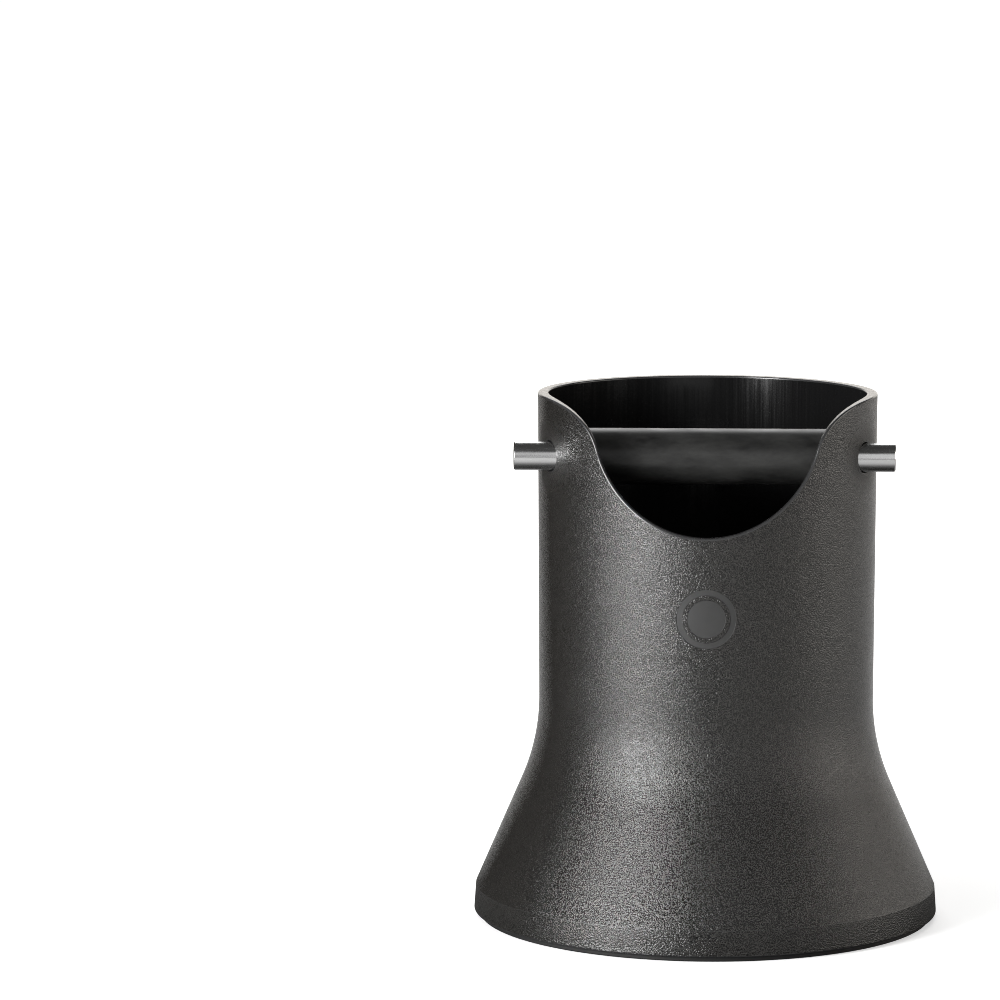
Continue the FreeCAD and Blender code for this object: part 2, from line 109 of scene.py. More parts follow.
# Roundings of the body's and the floor plate's edges.
RIM_ROUND = 0.5 * MM
BAND_EDGE_ROUND = 0.25 * MM
FOOT_ROUND = 0.4 * MM
HOLE_ROUND = 0.35 * MM
HOLE_INNER_ROUND = 0.2 * MM
PLATE_BEVEL = 0.15 * MM
ROUND_STEPS = 5

# The roundel, sunk into the front of the wall.
ROUNDEL_HEIGHT = 107.5 * MM
ROUNDEL_DEPTH = 0.2 * MM
ROUNDEL_DISC = 6.2 * MM
ROUNDEL_RING_INNER = 7.7 * MM
ROUNDEL_RING_OUTER = 9.6 * MM
ROUNDEL_SOFT = 0.05 * MM

# How finely the meshes are made.
COLUMN_STEP = 0.95 * MM
BACK_COLUMNS = 112
BAND_ROWS = 5
CONE_ROWS = 8
FLARE_ROWS = 26
WAIST_ROWS = 6
UPPER_START = 92.0 * MM
UPPER_ROWS = 36
LAND_ROWS = 5
INNER_CONE_ROWS = 9
LEDGE_ROWS = 3
SEAT_ROWS = 3
PATCH_RINGS = 6
HOLDING_GAP = 0.15 * MM
SHARP_ANGLE = math.radians(38)
EDGE_SAMPLES = 3001
ROD_SIDES = 96
ROD_STEP = 6 * MM
SLEEVE_SIDES = 120
SLEEVE_STEP = 1.5 * MM
RING_SIDES = 240
RING_STEP = 3 * MM

# The blocks of the body's grid that make way for the two holes and the roundel.
HOLE_COLUMNS = (math.radians(55), math.radians(77))
HOLE_ROWS = (147.5 * MM, 164.5 * MM)
ROUNDEL_COLUMNS = (math.radians(-12.5), math.radians(12.5))
ROUNDEL_ROWS = (95.5 * MM, 119.5 * MM)

# How uneven the sleeve is: waves in a metre along it, and the height of a wave.
SLEEVE_WAVES = 90.0
SLEEVE_SWELL = 0.06 * MM

# Where the rod rubs the wall, as distances from its axis, and how rough the wall is there.
RUBBED_ZONE = (ROD_RADIUS + 2 * MM, ROD_RADIUS + 14 * MM)
RUBBED_ROUGHNESS = 0.46

# The floor. FLOOR_SHADE is its shade for the camera. Each of the pairs is either the values near to and
# far from a point on the floor, or the distances that they hold at.
FLOOR_REACH = 14.0
FLOOR_GAP = 0.02 * MM
FLOOR_SHADE = 0.8
GLOW = (0.5, 1.0)
GLOW_NEAR_FAR = (0.1, 1.2)
# The floor's colour in reflections is a painted pool of light: pale near BOUNCE_CENTRE and painted dark far
# from it.
BOUNCE = (0.6, 0.05)
BOUNCE_NEAR_FAR = (1.2, 1.9)
BOUNCE_CENTRE = (-0.25, 0.55, 0.0)
# The floor's colour in reflections is darkened round the object's foot: a painted contact shadow.
PAINTED_CONTACT_SHADOW = (0.12, 1.0)
PAINTED_CONTACT_SHADOW_NEAR_FAR = (0.08, 0.22)

# The dark card behind the object's left edge, leaning a little at its near end.
FLAG_NEAR_FOOT = (-0.102, 0.075, 0.0)
FLAG_NEAR_TOP = (-0.088, 0.083, 0.25)
FLAG_FAR_FOOT = (-0.269, -0.0125, 0.0)
FLAG_FAR_TOP = (-0.269, -0.0125, 0.25)
FLAG_COLOUR = (0.03, 0.026, 0.023, 1.0)

# Lights and camera. Angles are in degrees, powers in watts, the lens and its sensor in millimetres.
WHITE = (1.0, 1.0, 1.0)
WARM = (1.0, 0.95, 0.885)
AMBIENT = (0.05, 0.05, 0.049)
LIGHT_AIM = (0.0, 0.0, 0.09)
LIGHT_DISTANCE = 1.6
OVERHEAD_DISTANCE = 1.4
CAMERA_PLACE = (0.0, -1.5542, 0.3388)
CAMERA_DOWN = 7.334
CAMERA_TURN = 2.526
CAMERA_LENS = 170.24
CAMERA_SENSOR = 36.0


# ------------------------------------------------------------------ helpers

def added(name, data):
    """A new object in the scene."""
    made = bpy.data.objects.new(name, data)
    bpy.context.scene.collection.objects.link(made)
    return made


class Sketch:
    """Points, faces and material slots of a mesh while it is being made."""

    def __init__(self):
        self.points = []
        self.faces = []
        self.slots = []

    def add(self, points):
        """Adds points and returns their numbers."""
        first = len(self.points)
        self.points.extend(points)
        return list(range(first, len(self.points)))

    def face(self, corners, slot):
        """Adds a face between numbered points."""
        self.faces.append(corners)
        self.slots.append(slot)

    def bridge(self, first, second, slot):
        """Quads between two closed rings with the same number of points."""
        for here in range(len(first)):
            after = (here + 1) % len(first)
            self.face((first[here], first[after], second[after], second[here]), slot)

    def fan(self, ring, middle, slot):
        """Triangles from a closed ring to a point in its middle."""
        for here in range(len(ring)):
            self.face((ring[here], ring[(here + 1) % len(ring)], middle), slot)

    def skin(self, rings, closed):
        """Quads along a row of closed rings, and from the last ring to the first if the row is closed."""
        following = rings[1:] + rings[:1] if closed else rings[1:]
        for before, after in zip(rings, following):
            self.bridge(before, after, 0)

    def make(self, name, materials):
        """The finished object, smooth apart from its hard corners."""
        mesh = bpy.data.meshes.new(name)
        mesh.from_pydata([tuple(point) for point in self.points], [], self.faces)
        mesh.polygons.foreach_set("material_index", self.slots)
        for material in materials:
            mesh.materials.append(material)
        clean = bmesh.new()
        clean.from_mesh(mesh)
        loose = [point for point in clean.verts if not point.link_faces]
        bmesh.ops.delete(clean, geom=loose, context="VERTS")
        bmesh.ops.recalc_face_normals(clean, faces=clean.faces)
        clean.to_mesh(mesh)
        clean.free()
        mesh.shade_smooth()
        mesh.set_sharp_from_angle(angle=SHARP_ANGLE)
        return added(name, mesh)


def smooth_step(value):
    """Rises smoothly from 0 to 1 as value goes from 0 to 1."""
    value = min(max(value, 0.0), 1.0)
    return value * value * (3 - 2 * value)


def round_corner(corner, first, second, radius):
    """Points of the arc that rounds a corner, from its run along first to its run along second."""
    first, second = first.normalized(), second.normalized()
    half = first.angle(second) / 2
    reach = radius / math.tan(half)
    middle = corner + (first + second).normalized() * (radius / math.sin(half))
    start = corner + first * reach - middle
    stop = corner + second * reach - middle
    sweep = start.angle(stop)
    points = []
    for step in range(ROUND_STEPS + 1):
        share = step / ROUND_STEPS
        swung = start * math.sin((1 - share) * sweep) + stop * math.sin(share * sweep)
        points.append(middle + swung / math.sin(sweep))
    return points


def spread(first, last, count):
    """Points evenly spaced between first and last, with neither end."""
    return [first.lerp(last, step / count) for step in range(1, count)]


def run(first, last, count):
    """Points between two rounded corners, with a holding point beside each corner."""
    hold = (last - first).normalized() * HOLDING_GAP
    return [first + hold] + spread(first + hold, last - hold, count) + [last - hold]


def rz(radius, height):
    """A point of a turned section, from its distance from the axis and its height."""
    return Vector((radius, 0.0, height))


def turned(point, angle):
    """A section point turned about +Z. Angle 0 is the front and a positive angle is to the right."""
    return Vector((point.x * math.sin(angle), -point.x * math.cos(angle), point.z))


# ------------------------------------------------------------------ the body

# The body's material slots, in the order of its materials.
GRAIN, SATIN, GLOSS, POLISHED = range(4)


def wall_radius(height, inner):
    """Radius of the drafted wall's outer or inner face at a height above the waist."""
    radius = WAIST_RADIUS + (height - WAIST_HEIGHT) * DRAFT_SLOPE
    return radius - WALL if inner else radius


def cut_height(x, y):
    """Height of the flat rim, or of the scoop's cut face, at a point of the wall."""
    across = abs(x)
    if y >= 0 or across >= LIP_ACROSS:
        return TOTAL_HEIGHT
    if across <= LIP_START:
        height = SCOOP_MIDDLE - math.sqrt(SCOOP_RADIUS ** 2 - across ** 2)
    else:
        height = LIP_MIDDLE + math.sqrt(LIP_RADIUS ** 2 - (LIP_ACROSS - across) ** 2)
    return TOTAL_HEIGHT - (TOTAL_HEIGHT - height) * smooth_step(-y / SCOOP_FADE)


def cut_normal(x, y):
    """Upward normal of the rim or of the cut face."""
    nudge = 0.01 * MM
    slope_x = (cut_height(x + nudge, y) - cut_height(x - nudge, y)) / (2 * nudge)
    slope_y = (cut_height(x, y + nudge) - cut_height(x, y - nudge)) / (2 * nudge)
    return Vector((-slope_x, -slope_y, 1.0)).normalized()


def edge_corner(angle, inner):
    """Where a face of the wall meets the rim or the cut face, before rounding."""
    flat = turned(rz(RIM_RADIUS - WALL if inner else RIM_RADIUS, 0.0), angle)
    height = cut_height(flat.x, flat.y)
    return turned(rz(wall_radius(height, inner), height), angle)


def rounded_edge(angle, inner):
    """A holding point on the wall, then the arc from the wall over to the cut face."""
    corner = edge_corner(angle, inner)
    nudge = 0.0005
    along = (edge_corner(angle + nudge, inner) - edge_corner(angle - nudge, inner)).normalized()
    outward = Vector((math.sin(angle), -math.cos(angle), 0.0))
    if inner:
        outward.negate()
    upward = cut_normal(corner.x, corner.y)
    down_wall = along.cross(outward)
    if down_wall.dot(upward) > 0:
        down_wall.negate()
    over_land = along.cross(upward)
    if over_land.dot(outward) > 0:
        over_land.negate()
    arc = round_corner(corner, down_wall, over_land, RIM_ROUND)
    return [arc[0] + down_wall * HOLDING_GAP] + arc


def column_angles():
    """Angles of the body's columns: evenly spaced along the scooped edge, then round the back."""
    quarter = math.pi / 2
    fine = np.linspace(-quarter, quarter, EDGE_SAMPLES)
    corners = np.array([edge_corner(angle, False) for angle in fine])
    runs = np.concatenate(([0.0], np.cumsum(np.linalg.norm(np.diff(corners, axis=0), axis=1))))
    count = round(runs[-1] / COLUMN_STEP / 2) * 2
    front = np.interp(np.linspace(0, runs[-1], count + 1), runs, fine)
    back = np.linspace(quarter, 3 * quarter, BACK_COLUMNS + 1)[1:-1]
    return [float(angle) for angle in np.concatenate((front, back))]


def inner_angle(angle):
    """Angle of a column on the inner wall. In the scoop it lies straight behind the outer one."""
    quarter, straight = math.pi / 2, math.radians(40)
    if abs(angle) > quarter:
        return angle
    shared = math.copysign(min(abs(angle), straight), angle)
    behind = math.asin(math.sin(shared) * RIM_RADIUS / (RIM_RADIUS - WALL))
    return angle + (behind - shared) * smooth_step((quarter - abs(angle)) / (quarter - straight))


def lower_sections():
    """The section below UPPER_START: points up the outside, points down the inside round to the foot, and
    the number of the outside point where the rounding of the band's upper edge starts."""
    draft = math.atan(DRAFT_SLOPE)
    middle_height = WAIST_HEIGHT - FLARE_RADIUS * math.sin(draft)
    middle = rz(WAIST_RADIUS + FLARE_RADIUS * math.cos(draft), middle_height)
    band_edge = rz(BAND_EDGE_RADIUS, BAND_TOP)
    band_foot = rz(BAND_FOOT_RADIUS, FOOT_HEIGHT)
    seat_foot = rz(SEAT_RADIUS, FOOT_HEIGHT)
    to_middle = middle - band_edge
    cone = math.atan2(to_middle.z, to_middle.x) + math.asin(FLARE_RADIUS / to_middle.length) - math.pi / 2

    def flare(radius):
        angles = np.linspace(cone, -draft, FLARE_ROWS + 1)
        return [middle - rz(math.cos(angle), math.sin(angle)) * radius for angle in angles]

    outer_flare, inner_flare = flare(FLARE_RADIUS), flare(FLARE_RADIUS + WALL)
    along_cone = (outer_flare[0] - band_edge).normalized()
    outer = round_corner(band_foot, seat_foot - band_foot, band_edge - band_foot, FOOT_ROUND)
    edge = round_corner(band_edge, band_foot - band_edge, along_cone, BAND_EDGE_ROUND)
    outer += run(outer[-1], edge[0], BAND_ROWS)
    edge_start = len(outer)
    outer += edge + run(edge[-1], outer_flare[0], CONE_ROWS) + outer_flare
    top = rz(wall_radius(UPPER_START, False), UPPER_START)
    outer += spread(outer[-1], top, WAIST_ROWS) + [top]

    cone_foot = inner_flare[0] + along_cone * ((BAND_INNER_RADIUS - inner_flare[0].x) / along_cone.x)
    ledge = rz(BAND_INNER_RADIUS, FLOOR_TOP)
    inner = [rz(wall_radius(UPPER_START, True), UPPER_START)]
    inner += spread(inner[0], inner_flare[-1], WAIST_ROWS) + inner_flare[::-1]
    inner += spread(inner[-1], cone_foot, INNER_CONE_ROWS) + [cone_foot]
    inner += spread(cone_foot, ledge, LEDGE_ROWS)
    inner += [ledge, rz(SEAT_RADIUS, FLOOR_TOP), seat_foot]
    return outer, inner, edge_start


def hole_point(turn, side, inner):
    """Point of a rod hole's mouth on the wall, at a turn about the rod's axis."""
    y = ROD_Y + HOLE_RADIUS * math.cos(turn)
    z = ROD_Z + HOLE_RADIUS * math.sin(turn)
    return wall_beside(y, z, side, inner)


def wall_beside(y, z, side, inner):
    """The point of the wall at y and z on the left (-1) or right (+1)."""
    return Vector((side * math.sqrt(wall_radius(z, inner) ** 2 - y ** 2), y, z))


def wall_in_front(x, z, depth):
    """The point of the outer wall's front at x and z, sunk to a depth."""
    return Vector((x, -math.sqrt((wall_radius(z, False) - depth) ** 2 - x ** 2), z))


def block_border(grid, columns, rows):
    """Point numbers round a block of the grid: along its foot, up, back along its top, and down."""
    foot, top = rows[0], rows[-1]
    border = [grid[column][foot] for column in columns[:-1]]
    border += [grid[columns[-1]][row] for row in rows[:-1]]
    border += [grid[column][top] for column in columns[:0:-1]]
    border += [grid[columns[0]][row] for row in rows[:0:-1]]
    return border


def make_body(materials):
    """The one-piece moulded body, with the two rod holes and the roundel let into its wall."""
    sketch = Sketch()
    outer_lower, inner_lower, band_edge = lower_sections()
    angles = column_angles()
    grid = []
    for angle in angles:
        inward = inner_angle(angle)
        outer_edge = rounded_edge(angle, False)
        inner_edge = rounded_edge(inward, True)
        column = [turned(point, angle) for point in outer_lower]
        for point in spread(column[-1], outer_edge[0], UPPER_ROWS):
            column.append(turned(rz(wall_radius(point.z, False), point.z), angle))
        column += outer_edge
        for point in spread(outer_edge[-1], inner_edge[-1], LAND_ROWS):
            column.append(Vector((point.x, point.y, cut_height(point.x, point.y))))
        column += inner_edge[::-1]
        inner_top = turned(inner_lower[0], inward)
        for point in spread(inner_edge[0], inner_top, UPPER_ROWS):
            column.append(turned(rz(wall_radius(point.z, True), point.z), inward))
        for point in inner_lower:
            fade = smooth_step((point.z - FLOOR_TOP) / (UPPER_START - FLOOR_TOP))
            column.append(turned(point, angle + (inward - angle) * fade))
        grid.append(sketch.add(column))

    count = len(angles)
    rows_in_all = len(grid[0])
    outer_start = len(outer_lower) - 1
    outer_top = outer_start + UPPER_ROWS
    land_stop = outer_top + len(outer_edge) + LAND_ROWS + len(inner_edge) - 2
    inner_start = land_stop + UPPER_ROWS
    left_out = set()

    def let_in(between, heights, inner):
        """Leaves a block out of the grid and returns the numbers of the points round it."""
        columns = [number for number in range(count) if between[0] <= angles[number] <= between[1]]
        top = sketch.points[grid[columns[len(columns) // 2]][outer_top]].z
        low, high = [round((height - UPPER_START) / (top - UPPER_START) * UPPER_ROWS) for height in heights]
        if inner:
            rows = [inner_start - step for step in range(low, high + 1)]
        else:
            rows = [outer_start + step for step in range(low, high + 1)]
        for column in columns[:-1]:
            for row in range(min(rows), max(rows)):
                left_out.add((column, row))
        return block_border(grid, columns, rows)

    for side in (-1, 1):
        between = sorted((side * HOLE_COLUMNS[0], side * HOLE_COLUMNS[1]))
        outer_border = let_in(between, HOLE_ROWS, False)
        inner_border = let_in(between, HOLE_ROWS, True)
        turns = turns_about(sketch, outer_border)
        outer_mouth = make_mouth(sketch, outer_border, turns, side, False)
        inner_mouth = make_mouth(sketch, inner_border, turns, side, True)
        sketch.bridge(outer_mouth, inner_mouth, SATIN)
    make_roundel(sketch, let_in(ROUNDEL_COLUMNS, ROUNDEL_ROWS, False))

    for column in range(count):
        after = (column + 1) % count
        for row in range(rows_in_all):
            if (column, row) in left_out:
                continue
            above = (row + 1) % rows_in_all
            # Grain covers the outside and gloss the inside. The foot, the rounded edges, the rim and the
            # seat are satin.
            kind = SATIN
            if ROUND_STEPS <= row < outer_top and not band_edge <= row < band_edge + ROUND_STEPS:
                kind = GRAIN
            elif land_stop <= row < rows_in_all - SEAT_ROWS:
                kind = GLOSS
            here, there = grid[column], grid[after]
            sketch.face((here[row], there[row], there[above], here[above]), kind)
    return sketch.make("shell_moulding", materials)


def turns_about(sketch, border):
    """Evenly spaced turns about the rod's axis, one for each point of a border round it."""
    start, second = sketch.points[border[0]], sketch.points[border[1]]
    going = 1 if (second.y - start.y) * (ROD_Z - start.z) > 0 else -1
    first = math.atan2(start.z - ROD_Z, start.y - ROD_Y)
    return [first + going * math.tau * step / len(border) for step in range(len(border))]


def make_mouth(sketch, border, turns, side, inner):
    """The wall round one mouth of a rod hole, from a block's border in. Returns the bore's ring."""
    kind = GLOSS if inner else GRAIN
    into_bore = Vector((side if inner else -side, 0.0, 0.0))
    nudge = 0.01
    arcs = []
    for turn in turns:
        corner = hole_point(turn, side, inner)
        along = (hole_point(turn + nudge, side, inner) - hole_point(turn - nudge, side, inner)).normalized()
        away = along.cross(Vector((corner.x, corner.y, 0.0)).normalized())
        if away.y * math.cos(turn) + away.z * math.sin(turn) < 0:
            away.negate()
        arcs.append(round_corner(corner, away, into_bore, HOLE_INNER_ROUND if inner else HOLE_ROUND))
    places = [sketch.points[number] for number in border]
    # The last ring on the wall stops just outside the rounding, and holds its shape.
    last_share = 0.98
    before = border
    for ring in range(1, PATCH_RINGS + 1):
        share = min(ring / PATCH_RINGS, last_share)
        points = []
        for place, arc in zip(places, arcs):
            y = place.y + (arc[0].y - place.y) * share
            z = place.z + (arc[0].z - place.z) * share
            points.append(wall_beside(y, z, side, inner))
        after = sketch.add(points)
        sketch.bridge(before, after, kind)
        before = after
    for step in range(ROUND_STEPS + 1):
        after = sketch.add([arc[step] for arc in arcs])
        sketch.bridge(before, after, kind if step == 0 else SATIN)
        before = after
    return before


def make_roundel(sketch, border):
    """The sunk disc and ring in the front of the wall, from a block's border to the middle."""
    count = len(border)
    places = [sketch.points[number] for number in border]
    start = places[0]
    first_turn = math.atan2(start.z - ROUNDEL_HEIGHT, start.x)
    turns = [first_turn + math.tau * step / count for step in range(count)]
    # Each row is a radius, a depth and the finish of the wall between the row before and this one.
    soft, deep = ROUNDEL_SOFT, ROUNDEL_DEPTH
    outline = []
    for outer, inner in ((ROUNDEL_RING_OUTER, ROUNDEL_RING_INNER), (ROUNDEL_DISC, 0.0)):
        outline += [(outer + 3 * soft, 0.0, GRAIN), (outer + soft, 0.0, GRAIN), (outer, soft, POLISHED)]
        outline += [(outer - soft, deep - soft, POLISHED), (outer - 2 * soft, deep, POLISHED)]
        outline += [(outer - 4 * soft, deep, POLISHED)]
        if inner:
            outline += [(inner + 4 * soft, deep, POLISHED), (inner + 2 * soft, deep, POLISHED)]
            outline += [(inner + soft, deep - soft, POLISHED), (inner, soft, POLISHED)]
            outline += [(inner - soft, 0.0, POLISHED), (inner - 3 * soft, 0.0, GRAIN)]
    outline += [(ROUNDEL_DISC * share, deep, POLISHED) for share in (0.7, 0.4, 0.15)]
    before = border
    for ring in range(1, PATCH_RINGS):
        share = ring / PATCH_RINGS
        points = []
        for place, turn in zip(places, turns):
            x = place.x + (outline[0][0] * math.cos(turn) - place.x) * share
            z = place.z + (outline[0][0] * math.sin(turn) + ROUNDEL_HEIGHT - place.z) * share
            points.append(wall_in_front(x, z, 0.0))
        after = sketch.add(points)
        sketch.bridge(before, after, GRAIN)
        before = after
    for radius, depth, kind in outline:
        points = []
        for turn in turns:
            x, z = radius * math.cos(turn), ROUNDEL_HEIGHT + radius * math.sin(turn)
            points.append(wall_in_front(x, z, depth))
        after = sketch.add(points)
        sketch.bridge(before, after, kind)
        before = after
    middle = sketch.add([wall_in_front(0.0, ROUNDEL_HEIGHT, ROUNDEL_DEPTH)])[0]
    sketch.fan(before, middle, POLISHED)


# ------------------------------------------------------------------ rod, sleeve and foot ring

def full_turn(sides):
    """Evenly spaced turns round a circle."""
    return [math.tau * step / sides for step in range(sides)]


def rounded_section(outline, longest, closed):
    """A section with rounded corners and no run longer than longest. Each row of the outline is a
    corner's x, its z and its radius."""
    corners = [(rz(across, up), radius) for across, up, radius in outline]
    rough = []
    for number, (corner, radius) in enumerate(corners):
        if not radius:
            rough.append(corner)
            continue
        before, after = corners[number - 1][0], corners[(number + 1) % len(corners)][0]
        arc = round_corner(corner, before - corner, after - corner, radius)
        rough.append(arc[0] + (before - corner).normalized() * radius / 4)
        rough += arc
        rough.append(arc[-1] + (after - corner).normalized() * radius / 4)
    section = []
    for number, point in enumerate(rough):
        section.append(point)
        if number + 1 < len(rough) or closed:
            following = rough[(number + 1) % len(rough)]
            section += spread(point, following, math.ceil((following - point).length / longest))
    return section


def along_rod(point, turn, swell=0.0):
    """A section point, with its place along the rod in x and its radius in z, turned about the rod."""
    radius = point.z + swell
    return Vector((point.x, ROD_Y + radius * math.cos(turn), ROD_Z + radius * math.sin(turn)))


def make_rod(material):
    """The steel rod, cut square with a small chamfer at each end."""
    soft, hub = 0.1 * MM, 0.4 * MM
    outline = [
        (ROD_LEFT, hub, 0.0),
        (ROD_LEFT, ROD_RADIUS - ROD_CHAMFER, soft),
        (ROD_LEFT + ROD_CHAMFER, ROD_RADIUS, soft),
        (ROD_RIGHT - ROD_CHAMFER, ROD_RADIUS, soft),
        (ROD_RIGHT, ROD_RADIUS - ROD_CHAMFER, soft),
        (ROD_RIGHT, hub, 0.0),
    ]
    sketch = Sketch()
    rings = []
    for point in rounded_section(outline, ROD_STEP, closed=False):
        rings.append(sketch.add([along_rod(point, turn) for turn in full_turn(ROD_SIDES)]))
    sketch.skin(rings, closed=False)
    ends = sketch.add([Vector((ROD_LEFT, ROD_Y, ROD_Z)), Vector((ROD_RIGHT, ROD_Y, ROD_Z))])
    sketch.fan(rings[0], ends[0], 0)
    sketch.fan(rings[-1], ends[1], 0)
    return sketch.make("rod", [material])


def make_sleeve(material):
    """The rubber tube on the rod, very slightly uneven as soft extruded tube is."""
    outline = [
        (SLEEVE_LEFT, SLEEVE_BORE, SLEEVE_BORE_ROUND),
        (SLEEVE_LEFT, SLEEVE_RADIUS, SLEEVE_ROUND),
        (SLEEVE_RIGHT, SLEEVE_RADIUS, SLEEVE_ROUND),
        (SLEEVE_RIGHT, SLEEVE_BORE, SLEEVE_BORE_ROUND),
    ]
    sketch = Sketch()
    rings = []
    for point in rounded_section(outline, SLEEVE_STEP, closed=True):
        outside = smooth_step((point.z - SLEEVE_BORE) / (SLEEVE_RADIUS - SLEEVE_BORE))
        ring = []
        for turn in full_turn(SLEEVE_SIDES):
            spot = Vector((point.x * SLEEVE_WAVES, math.cos(turn), math.sin(turn)))
            ring.append(along_rod(point, turn, noise.noise(spot) * SLEEVE_SWELL * outside))
        rings.append(sketch.add(ring))
    sketch.skin(rings, closed=True)
    return sketch.make("sleeve_tube", [material])


def make_foot_ring(material):
    """The soft ring under the foot, with its grip grooves and the tongue that holds it in the floor."""
    outline = [(RING_INNER, 0.0, 0.3 * MM)]
    for number in range(GROOVES):
        middle = GROOVE_START + number * GROOVE_SPACING
        for side, height in ((-1, 0.0), (-1, GROOVE_DEPTH), (1, GROOVE_DEPTH), (1, 0.0)):
            outline.append((middle + side * GROOVE_HALF, height, GROOVE_ROUND))
    outline += [(RING_OUTER, 0.0, 0.5 * MM), (RING_OUTER, FOOT_HEIGHT, 0.2 * MM)]
    outline += [(TONGUE_OUTER, FOOT_HEIGHT, 0.1 * MM), (TONGUE_OUTER, RING_TOP, 0.3 * MM)]
    outline += [(TONGUE_INNER, RING_TOP, 0.3 * MM), (TONGUE_INNER, FOOT_HEIGHT, 0.1 * MM)]
    outline += [(RING_INNER, FOOT_HEIGHT, 0.3 * MM)]
    sketch = Sketch()
    rings = []
    for point in rounded_section(outline, RING_STEP, closed=True):
        rings.append(sketch.add([turned(point, turn) for turn in full_turn(RING_SIDES)]))
    sketch.skin(rings, closed=True)
    return sketch.make("foot_ring_soft", [material])


# ------------------------------------------------------------------ materials

class Nodes:
    """A material's node tree, with short calls for the nodes used here."""

    def __init__(self, name):
        self.material = bpy.data.materials.new(name)
        self.material.use_nodes = True
        self.tree = self.material.node_tree
        self.shader = self.tree.nodes["Principled BSDF"]
        self.place = self.tree.nodes.new("ShaderNodeTexCoord").outputs["Object"]

    def set(self, **values):
        """Sets inputs of the shader, named with _ for a space."""
        for name, value in values.items():
            self.shader.inputs[name.replace("_", " ")].default_value = value

    def link(self, output, name):
        """Feeds an input of the shader."""
        self.tree.links.new(output, self.shader.inputs[name])

    def stretched(self, scale):
        """Object coordinates, scaled along each axis."""
        node = self.tree.nodes.new("ShaderNodeMapping")
        node.inputs["Scale"].default_value = scale
        self.tree.links.new(self.place, node.inputs["Vector"])
        return node.outputs["Vector"]

    def noise(self, size, detail=2.0, roughness=0.5, place=None):
        """Noise whose features are about size metres across."""
        node = self.tree.nodes.new("ShaderNodeTexNoise")
        node.inputs["Scale"].default_value = 1 / size
        node.inputs["Detail"].default_value = detail
        node.inputs["Roughness"].default_value = roughness
        self.tree.links.new(place or self.place, node.inputs["Vector"])
        return node.outputs["Fac"]

    def levels(self, value, source, target, interpolation="LINEAR"):
        """Maps a value from one range to another."""
        node = self.tree.nodes.new("ShaderNodeMapRange")
        node.interpolation_type = interpolation
        for name, number in zip(("From Min", "From Max", "To Min", "To Max"), source + target):
            node.inputs[name].default_value = number
        self.tree.links.new(value, node.inputs["Value"])
        return node.outputs["Result"]

    def blend(self, amount, first, second):
        """A colour between two colours. The mix node's colours are its inputs 6 and 7 and its output 2."""
        node = self.tree.nodes.new("ShaderNodeMix")
        node.data_type = "RGBA"
        self.tree.links.new(amount, node.inputs["Factor"])
        for number, colour in ((6, first), (7, second)):
            node.inputs[number].default_value = (*colour, 1.0)
        return node.outputs[2]

    def combined(self, operation, first, second):
        """The result of a maths operation on two values."""
        node = self.tree.nodes.new("ShaderNodeMath")
        node.operation = operation
        self.tree.links.new(first, node.inputs[0])
        self.tree.links.new(second, node.inputs[1])
        return node.outputs["Value"]

    def distance(self, place, centre):
        """How far a place is from a point."""
        node = self.tree.nodes.new("ShaderNodeVectorMath")
        node.operation = "DISTANCE"
        node.inputs[1].default_value = centre
        self.tree.links.new(place, node.inputs[0])
        return node.outputs["Value"]

    def rubbed(self, roughness):
        """Roughness that grows towards the two holes, where the rod rubs."""
        across = self.tree.nodes.new("ShaderNodeVectorMath")
        across.operation = "MULTIPLY"
        across.inputs[1].default_value = (0.0, 1.0, 1.0)
        self.tree.links.new(self.place, across.inputs[0])
        away = self.distance(across.outputs["Vector"], (0.0, ROD_Y, ROD_Z))
        worn = self.levels(away, RUBBED_ZONE, (RUBBED_ROUGHNESS, 0.0))
        return self.combined("MAXIMUM", roughness, worn)

    def bump(self, layers):
        """Bumps of several sizes, each a texture with its height in metres."""
        normal = None
        for texture, height in layers:
            node = self.tree.nodes.new("ShaderNodeBump")
            node.inputs["Distance"].default_value = height
            self.tree.links.new(texture, node.inputs["Height"])
            if normal:
                self.tree.links.new(normal, node.inputs["Normal"])
            normal = node.outputs["Normal"]
        self.link(normal, "Normal")


def grained_plastic():
    """Charcoal plastic with the coarse spark-eroded grain of the mould, and painted shade in its pits."""
    nodes = Nodes("grained_plastic")
    # The grain's pits are painted darker, as shade in their hollows.
    pit_painted_shade, peak = (0.0015, 0.0015, 0.0014), (0.0240, 0.0230, 0.0214)
    grain = nodes.noise(0.40 * MM, detail=0.8)
    nodes.link(nodes.blend(nodes.levels(grain, (0.34, 0.66), (0.0, 1.0)), pit_painted_shade, peak), "Base Color")
    nodes.link(nodes.levels(grain, (0.34, 0.66), (0.44, 0.60)), "Specular IOR Level")
    coarse = nodes.levels(nodes.noise(9 * MM, detail=4), (0.3, 0.7), (0.16, 0.23))
    nodes.link(nodes.rubbed(coarse), "Roughness")
    nodes.bump([(grain, 0.22 * MM), (nodes.noise(7 * MM, detail=2), 0.03 * MM)])
    return nodes.material


def satin_plastic():
    """The smooth cut faces of the rim and the scoop."""
    nodes = Nodes("satin_plastic")
    dark, light = (0.020, 0.020, 0.021), (0.027, 0.027, 0.027)
    nodes.link(nodes.blend(nodes.noise(4 * MM), dark, light), "Base Color")
    nodes.link(nodes.levels(nodes.noise(2 * MM, detail=4), (0.3, 0.7), (0.20, 0.28)), "Roughness")
    nodes.bump([(nodes.noise(0.5 * MM), 0.006 * MM)])
    return nodes.material


